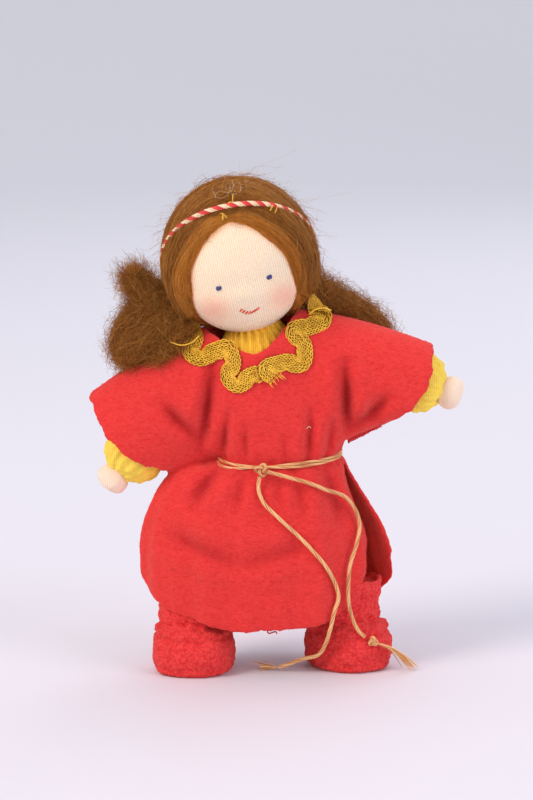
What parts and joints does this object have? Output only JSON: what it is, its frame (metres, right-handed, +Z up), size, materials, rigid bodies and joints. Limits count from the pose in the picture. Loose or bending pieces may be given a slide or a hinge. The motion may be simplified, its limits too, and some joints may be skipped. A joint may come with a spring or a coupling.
{
  "type": "waldorf doll",
  "caption": "Soft bendable doll with a round jersey head, felt tunic with wave braid, cord belt, fleece hair and plush boots, standing on wired limbs.",
  "frame": {"origin": "on the floor, under the middle of the doll's box", "axes": "+Z up, the doll faces -Y, and +X is the doll's own left side"},
  "size_m": [0.0968, 0.0388, 0.1291],
  "materials": {
    "red_felt": "thick wool felt with cut edges",
    "red_plush": "short plush knit",
    "yellow_jersey": "knitted cotton jersey",
    "skin_jersey": "fine cotton tricot",
    "hair_fleece": "combed wool fleece",
    "wool_stuffing": "carded wool",
    "gold_braid": "crocheted metallic thread",
    "belt_cord": "shiny stranded thread",
    "band_cord": "two-ply twisted cord",
    "eye_thread": "stranded embroidery thread",
    "mouth_thread": "stranded embroidery thread",
    "armature_wire": "soft wire wound with wool yarn"
  },
  "bodies": {
    "torso": {"torso_stuffing": "wool_stuffing", "torso_wire": "armature_wire", "suit_body": "yellow_jersey", "suit_collar": "yellow_jersey", "tunic": "red_felt", "braid_right": "gold_braid", "braid_left": "gold_braid", "belt": "belt_cord", "belt_knot": "belt_cord", "belt_tail_right": "belt_cord", "belt_tail_left": "belt_cord", "tail_knot_left": "belt_cord", "tassel_right": "belt_cord", "tassel_left": "belt_cord"},
    "neck": {"neck_wire": "armature_wire", "neck_core": "skin_jersey"},
    "head": {"head_core": "wool_stuffing", "head_skin": "skin_jersey", "hair_cap": "hair_fleece", "hair_bunch_right": "hair_fleece", "hair_bunch_left": "hair_fleece", "head_band": "band_cord", "eye_right": "eye_thread", "eye_left": "eye_thread", "mouth": "mouth_thread"},
    "upper_arm_right": {"upper_arm_stuffing_right": "wool_stuffing", "upper_arm_wire_right": "armature_wire", "upper_sleeve_right": "yellow_jersey"},
    "forearm_right": {"forearm_stuffing_right": "wool_stuffing", "forearm_wire_right": "armature_wire", "lower_sleeve_right": "yellow_jersey", "hand_right": "skin_jersey"},
    "upper_arm_left": {"upper_arm_stuffing_left": "wool_stuffing", "upper_arm_wire_left": "armature_wire", "upper_sleeve_left": "yellow_jersey"},
    "forearm_left": {"forearm_stuffing_left": "wool_stuffing", "forearm_wire_left": "armature_wire", "lower_sleeve_left": "yellow_jersey", "hand_left": "skin_jersey"},
    "thigh_right": {"thigh_stuffing_right": "wool_stuffing", "thigh_wire_right": "armature_wire", "thigh_cover_right": "yellow_jersey"},
    "shin_right": {"shin_stuffing_right": "wool_stuffing", "shin_wire_right": "armature_wire", "shin_cover_right": "yellow_jersey", "foot_stuffing_right": "wool_stuffing", "boot_right": "red_plush"},
    "thigh_left": {"thigh_stuffing_left": "wool_stuffing", "thigh_wire_left": "armature_wire", "thigh_cover_left": "yellow_jersey"},
    "shin_left": {"shin_stuffing_left": "wool_stuffing", "shin_wire_left": "armature_wire", "shin_cover_left": "yellow_jersey", "foot_stuffing_left": "wool_stuffing", "boot_left": "red_plush"}
  },
  "joints": [
    {"name": "neck_nod", "type": "hinge", "parent": "torso", "child": "neck", "pos_m": [-0.00441, -0.0007, 0.08252], "axis": [0.9816, 0, 0.1908], "range_deg": [-10, 15]},
    {"name": "neck_turn", "type": "hinge", "parent": "neck", "child": "head", "pos_m": [-0.0069, -0.0007, 0.09528], "axis": [-0.1908, 0, 0.9816], "range_deg": [-40, 40], "deforming": ["hair_bunch_right", "hair_bunch_left"]},
    {"name": "shoulder_right", "type": "hinge", "parent": "torso", "child": "upper_arm_right", "pos_m": [-0.01797, -0.0007, 0.07887], "axis": [0, 1, 0], "range_deg": [-12, 55], "deforming": ["tunic", "braid_right"]},
    {"name": "elbow_right", "type": "hinge", "parent": "upper_arm_right", "child": "forearm_right", "pos_m": [-0.02922, -0.0007, 0.06546], "axis": [-0.766, 0, 0.6428], "range_deg": [0, 65]},
    {"name": "shoulder_left", "type": "hinge", "parent": "torso", "child": "upper_arm_left", "pos_m": [0.00952, -0.0007, 0.08421], "axis": [0, -1, 0], "range_deg": [-22, 45], "deforming": ["braid_left"]},
    {"name": "elbow_left", "type": "hinge", "parent": "upper_arm_left", "child": "forearm_left", "pos_m": [0.02616, -0.0007, 0.0788], "axis": [-0.309, 0, -0.9511], "range_deg": [0, 65]},
    {"name": "hip_right", "type": "hinge", "parent": "torso", "child": "thigh_right", "pos_m": [-0.00905, -0.0007, 0.042], "axis": [-1, 0, 0], "range_deg": [-15, 85], "deforming": ["belt_tail_right", "tassel_right"]},
    {"name": "knee_right", "type": "hinge", "parent": "thigh_right", "child": "shin_right", "pos_m": [-0.01499, -0.00181, 0.027], "axis": [0.9299, 0, -0.3678], "range_deg": [0, 55]},
    {"name": "hip_left", "type": "hinge", "parent": "torso", "child": "thigh_left", "pos_m": [0.01015, -0.0007, 0.042], "axis": [-1, 0, 0], "range_deg": [-15, 85], "deforming": ["belt_tail_left", "tail_knot_left", "tassel_left"]},
    {"name": "knee_left", "type": "hinge", "parent": "thigh_left", "child": "shin_left", "pos_m": [0.01396, 0.00059, 0.027], "axis": [0.9692, 0, 0.2463], "range_deg": [0, 55]}
  ]
}
